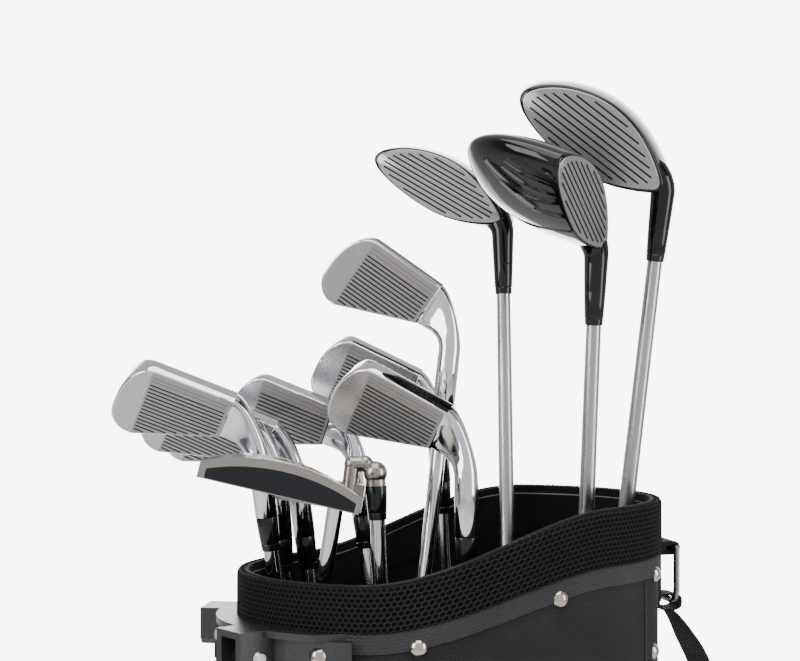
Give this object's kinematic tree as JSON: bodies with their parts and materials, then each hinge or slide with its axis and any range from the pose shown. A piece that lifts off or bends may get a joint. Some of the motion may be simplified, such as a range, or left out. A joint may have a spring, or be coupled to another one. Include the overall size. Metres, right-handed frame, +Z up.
{
  "type": "golf club set",
  "caption": "Golf clubs standing heads up in a stand bag with a mesh collar, folding legs and a shoulder strap.",
  "frame": {"origin": "middle of the base's underside, on the bag's axis", "axes": "+Z up along the bag; -X to the stand side, +X to the shoulder strap, -Y to the front"},
  "size_m": [0.4138, 0.3158, 1.1451],
  "materials": {
    "shell_fabric": "woven polyester",
    "mesh": "black spacer mesh",
    "frame_plastic": "moulded",
    "tape": "ribbed tape",
    "base_plastic": "grained",
    "bracket_plastic": "moulded",
    "nickel": "polished nickel",
    "leg_paint": "black gloss",
    "shoe_rubber": "matte",
    "stay_steel": "brushed",
    "webbing": "ribbed webbing",
    "wood_gloss": "black gloss lacquer",
    "iron_chrome": "polished, sandblasted face",
    "putter_satin": "satin nickel",
    "shaft_steel": "polished",
    "grip_rubber": "cord pattern"
  },
  "bodies": {
    "bag": {"bag_shell": "shell_fabric", "collar": "mesh", "top_frame": "frame_plastic", "binding_tape": "tape", "base_cup": "base_plastic", "leg_bracket": "bracket_plastic", "hinge_pins": "stay_steel", "rivets": "nickel", "carry_handle": "webbing", "strap_loops": "webbing", "shoulder_strap": "webbing", "apparel_pocket": "shell_fabric", "ball_pocket": "shell_fabric", "accessory_pocket": "shell_fabric", "zip_pulls": "nickel"},
    "foot_plate": {"base_foot": "base_plastic"},
    "left_stand_leg": {"left_leg": "leg_paint", "left_shoe": "shoe_rubber"},
    "right_stand_leg": {"right_leg": "leg_paint", "right_shoe": "shoe_rubber"},
    "runner": {"stand_runner": "bracket_plastic"},
    "left_stay": {"left_strut": "stay_steel"},
    "right_stay": {"right_strut": "stay_steel"},
    "ring": {"strap_ring": "nickel"},
    "driver": {"driver_head": "wood_gloss", "driver_shaft": "shaft_steel", "driver_grip": "grip_rubber"},
    "wood_3": {"wood_3_head": "wood_gloss", "wood_3_shaft": "shaft_steel", "wood_3_grip": "grip_rubber"},
    "wood_5": {"wood_5_head": "wood_gloss", "wood_5_shaft": "shaft_steel", "wood_5_grip": "grip_rubber"},
    "iron_3": {"iron_3_head": "iron_chrome", "iron_3_shaft": "shaft_steel", "iron_3_grip": "grip_rubber"},
    "iron_7": {"iron_7_head": "iron_chrome", "iron_7_shaft": "shaft_steel", "iron_7_grip": "grip_rubber"},
    "iron_8": {"iron_8_head": "iron_chrome", "iron_8_shaft": "shaft_steel", "iron_8_grip": "grip_rubber"},
    "iron_9": {"iron_9_head": "iron_chrome", "iron_9_shaft": "shaft_steel", "iron_9_grip": "grip_rubber"},
    "pitching_wedge": {"pitching_wedge_head": "iron_chrome", "pitching_wedge_shaft": "shaft_steel", "pitching_wedge_grip": "grip_rubber"},
    "iron_6": {"iron_6_head": "iron_chrome", "iron_6_shaft": "shaft_steel", "iron_6_grip": "grip_rubber"},
    "sand_wedge": {"sand_wedge_head": "iron_chrome", "sand_wedge_shaft": "shaft_steel", "sand_wedge_grip": "grip_rubber"},
    "blade_putter": {"blade_putter_head": "putter_satin", "blade_putter_shaft": "shaft_steel", "blade_putter_grip": "grip_rubber"},
    "mallet_putter": {"mallet_putter_head": "putter_satin", "mallet_putter_shaft": "shaft_steel", "mallet_putter_grip": "grip_rubber"}
  },
  "joints": [
    {"name": "left_leg_swing", "type": "hinge", "parent": "bag", "child": "left_stand_leg", "pos_m": [-0.137, 0.041, 0.783], "axis": [0.4067, 0.9135, 0], "range_deg": [0, 26]},
    {"name": "right_leg_swing", "type": "hinge", "parent": "bag", "child": "right_stand_leg", "pos_m": [-0.137, -0.041, 0.783], "axis": [-0.4067, 0.9135, 0], "range_deg": [0, 26]},
    {"name": "runner_slide", "type": "slide", "parent": "bag", "child": "runner", "axis": [0, 0, 1], "range_m": [0, 0.02777]},
    {"name": "left_strut_swing", "type": "hinge", "parent": "runner", "child": "left_stay", "pos_m": [-0.141, 0.013, 0.493], "axis": [-0.4067, -0.9135, 0], "range_deg": [0, 23.55]},
    {"name": "right_strut_swing", "type": "hinge", "parent": "runner", "child": "right_stay", "pos_m": [-0.141, -0.013, 0.493], "axis": [0.4067, -0.9135, 0], "range_deg": [0, 23.55]},
    {"name": "foot_plate_hinge", "type": "hinge", "parent": "bag", "child": "foot_plate", "pos_m": [-0.055, 0, 0.006], "axis": [0, 1, 0], "range_deg": [0, 17.29]},
    {"name": "strap_ring_swing", "type": "hinge", "parent": "bag", "child": "ring", "pos_m": [0.145, 0, 0.832], "axis": [0, 1, 0], "range_deg": [-5, 5]},
    {"name": "driver_draw", "type": "slide", "parent": "bag", "child": "driver", "axis": [0.0891, -0.0811, 0.9927], "range_m": [0, 0.85]},
    {"name": "wood_3_draw", "type": "slide", "parent": "bag", "child": "wood_3", "axis": [0.028, 0.1269, 0.9915], "range_m": [0, 0.85]},
    {"name": "wood_5_draw", "type": "slide", "parent": "bag", "child": "wood_5", "axis": [0.0172, -0.0592, 0.9981], "range_m": [0, 0.85]},
    {"name": "iron_3_draw", "type": "slide", "parent": "bag", "child": "iron_3", "axis": [0.1197, 0.0271, 0.9924], "range_m": [0, 0.85]},
    {"name": "iron_7_draw", "type": "slide", "parent": "bag", "child": "iron_7", "axis": [-0.0373, 0.0628, 0.9973], "range_m": [0, 0.85]},
    {"name": "iron_8_draw", "type": "slide", "parent": "bag", "child": "iron_8", "axis": [-0.1477, -0.0981, 0.9842], "range_m": [0, 0.85]},
    {"name": "iron_9_draw", "type": "slide", "parent": "bag", "child": "iron_9", "axis": [-0.1083, 0.0865, 0.9903], "range_m": [0, 0.87]},
    {"name": "pitching_wedge_draw", "type": "slide", "parent": "bag", "child": "pitching_wedge", "axis": [-0.0098, 0, 1], "range_m": [0, 0.85]},
    {"name": "iron_6_draw", "type": "slide", "parent": "bag", "child": "iron_6", "axis": [-0.0798, 0.1473, 0.9859], "range_m": [0, 0.85]},
    {"name": "sand_wedge_draw", "type": "slide", "parent": "bag", "child": "sand_wedge", "axis": [-0.0866, -0.0433, 0.9953], "range_m": [0, 0.84]},
    {"name": "blade_putter_draw", "type": "slide", "parent": "bag", "child": "blade_putter", "axis": [-0.0294, 0.0624, 0.9976], "range_m": [0, 0.85]},
    {"name": "mallet_putter_draw", "type": "slide", "parent": "bag", "child": "mallet_putter", "axis": [-0.0358, 0.0038, 0.9994], "range_m": [0, 0.85]}
  ],
  "couplings": [
    {"joint": "right_leg_swing", "follows": "left_leg_swing", "ratio": 1},
    {"joint": "runner_slide", "follows": "left_leg_swing", "m_per_rad": 0.06119},
    {"joint": "left_strut_swing", "follows": "left_leg_swing", "ratio": 0.90579},
    {"joint": "right_strut_swing", "follows": "left_leg_swing", "ratio": 0.90579},
    {"joint": "foot_plate_hinge", "follows": "left_leg_swing", "ratio": 0.66494}
  ]
}
